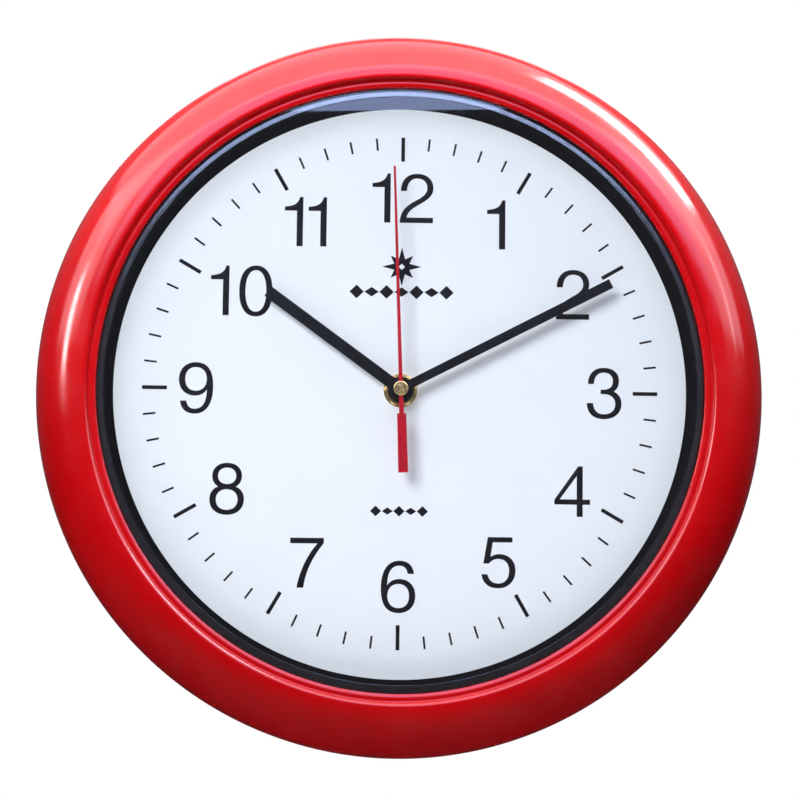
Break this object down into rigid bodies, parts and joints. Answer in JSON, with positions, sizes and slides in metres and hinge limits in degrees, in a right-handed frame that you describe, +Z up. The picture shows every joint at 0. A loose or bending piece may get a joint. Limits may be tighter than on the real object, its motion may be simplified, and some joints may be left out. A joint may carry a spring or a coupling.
{
  "type": "wall clock",
  "caption": "Round wall clock with a rounded glossy red ring, white dial with numerals, black hour and minute hands, red second hand, flat glass and a battery quartz movement.",
  "frame": {"origin": "on the axis of the hands, in the plane of the wall that the rear rim rests on", "axes": "+Z up as the clock hangs, +Y from the dial into the wall, so the dial faces -Y; +X to 3 o'clock"},
  "size_m": [0.3, 0.042, 0.3],
  "materials": {
    "case_red": "high gloss red moulding",
    "clear_glass": "clear, polished",
    "gloss_black": "gloss black moulding",
    "dial_white": "printed white",
    "dial_board": "plain grey white",
    "cover_black": "fine textured black moulding",
    "screw_zinc": "zinc plated",
    "hanger_steel": "zinc plated sheet",
    "movement_black": "fine textured black moulding",
    "plate_grey": "plain moulding",
    "brass_bright": "turned, bright",
    "rubber_black": "soft matt",
    "motor_iron": "rolled soft iron",
    "bobbin_white": "plain moulding",
    "winding_copper": "enamelled copper wire",
    "board_green": "printed circuit board",
    "resin_black": "cured resin",
    "crystal_can": "drawn metal can",
    "cell_sleeve": "shrink sleeve over the can",
    "cell_cap": "nickel plated",
    "contact_nickel": "nickel plated spring strip",
    "gear_white": "natural acetal",
    "gear_amber": "tinted acetal",
    "magnet_dark": "pressed ferrite",
    "arbor_steel": "drawn, bright",
    "hand_black": "black satin paint on sheet",
    "hand_red": "red satin paint on sheet",
    "knob_white": "plain moulding"
  },
  "bodies": {
    "clock_body": {"case_ring": "case_red", "glass_lens": "clear_glass", "spacer_ring": "gloss_black", "dial_sheet": "dial_white", "dial_plate": "dial_board", "back_cover": "cover_black", "cover_screws": "screw_zinc", "hanger_plate": "hanger_steel", "hanger_screws": "screw_zinc", "movement_housing": "movement_black", "movement_cover": "movement_black", "mid_plate": "plate_grey", "threaded_bush": "brass_bright", "rubber_washer": "rubber_black", "brass_washer": "brass_bright", "hex_nut": "brass_bright", "stator": "motor_iron", "coil_core": "motor_iron", "coil_bobbin": "bobbin_white", "coil_winding": "winding_copper", "circuit_board": "board_green", "driver_chip": "resin_black", "quartz_crystal": "crystal_can", "battery": "cell_sleeve", "battery_cap": "cell_cap", "positive_contact": "contact_nickel", "negative_contact": "contact_nickel"},
    "second_group": {"second_hand": "hand_red", "second_hand_cap": "brass_bright", "second_arbor": "arbor_steel", "second_wheel": "gear_white"},
    "intermediate_group": {"intermediate_wheel": "gear_amber"},
    "rotor_group": {"rotor_pinion": "gear_white", "rotor_magnet": "magnet_dark"},
    "third_group": {"third_wheel": "gear_white"},
    "centre_group": {"centre_wheel": "gear_amber"},
    "minute_group": {"minute_hand": "hand_black", "cannon_pinion": "gear_white"},
    "minute_wheel_group": {"minute_wheel": "gear_amber"},
    "hour_group": {"hour_hand": "hand_black", "hour_wheel": "gear_white"},
    "knob_group": {"setting_knob": "knob_white"}
  },
  "joints": [
    {"name": "second_hand_turn", "type": "hinge", "parent": "clock_body", "child": "second_group", "pos_m": [0, -0.0316, 0], "axis": [0, 1, 0], "continuous": true},
    {"name": "intermediate_turn", "type": "hinge", "parent": "clock_body", "child": "intermediate_group", "pos_m": [-0.00695, -0.0066, 0.00186], "axis": [0, 1, 0], "continuous": true},
    {"name": "rotor_turn", "type": "hinge", "parent": "clock_body", "child": "rotor_group", "pos_m": [-0.01045, -0.0079, 0.00793], "axis": [0, 1, 0], "continuous": true},
    {"name": "third_turn", "type": "hinge", "parent": "clock_body", "child": "third_group", "pos_m": [0.00737, -0.008, 0.00516], "axis": [0, 1, 0], "continuous": true},
    {"name": "centre_turn", "type": "hinge", "parent": "clock_body", "child": "centre_group", "pos_m": [0, -0.011, 0], "axis": [0, 1, 0], "continuous": true},
    {"name": "minute_hand_turn", "type": "hinge", "parent": "clock_body", "child": "minute_group", "pos_m": [0, -0.029, 0], "axis": [0, 1, 0], "continuous": true},
    {"name": "minute_wheel_turn", "type": "hinge", "parent": "clock_body", "child": "minute_wheel_group", "pos_m": [-0.00146, -0.0126, 0.00827], "axis": [0, 1, 0], "continuous": true},
    {"name": "hour_hand_turn", "type": "hinge", "parent": "clock_body", "child": "hour_group", "pos_m": [0, -0.0262, 0], "axis": [0, 1, 0], "continuous": true},
    {"name": "setting_knob_turn", "type": "hinge", "parent": "clock_body", "child": "knob_group", "pos_m": [0.00327, -0.0015, 0.01646], "axis": [0, 1, 0], "continuous": true}
  ],
  "couplings": [
    {"joint": "intermediate_turn", "follows": "second_hand_turn", "ratio": -5},
    {"joint": "rotor_turn", "follows": "second_hand_turn", "ratio": 30},
    {"joint": "third_turn", "follows": "second_hand_turn", "ratio": -0.13333},
    {"joint": "centre_turn", "follows": "second_hand_turn", "ratio": 0.016667},
    {"joint": "minute_wheel_turn", "follows": "minute_hand_turn", "ratio": -0.33333},
    {"joint": "hour_hand_turn", "follows": "minute_hand_turn", "ratio": 0.083333},
    {"joint": "setting_knob_turn", "follows": "minute_hand_turn", "ratio": 0.66667}
  ]
}
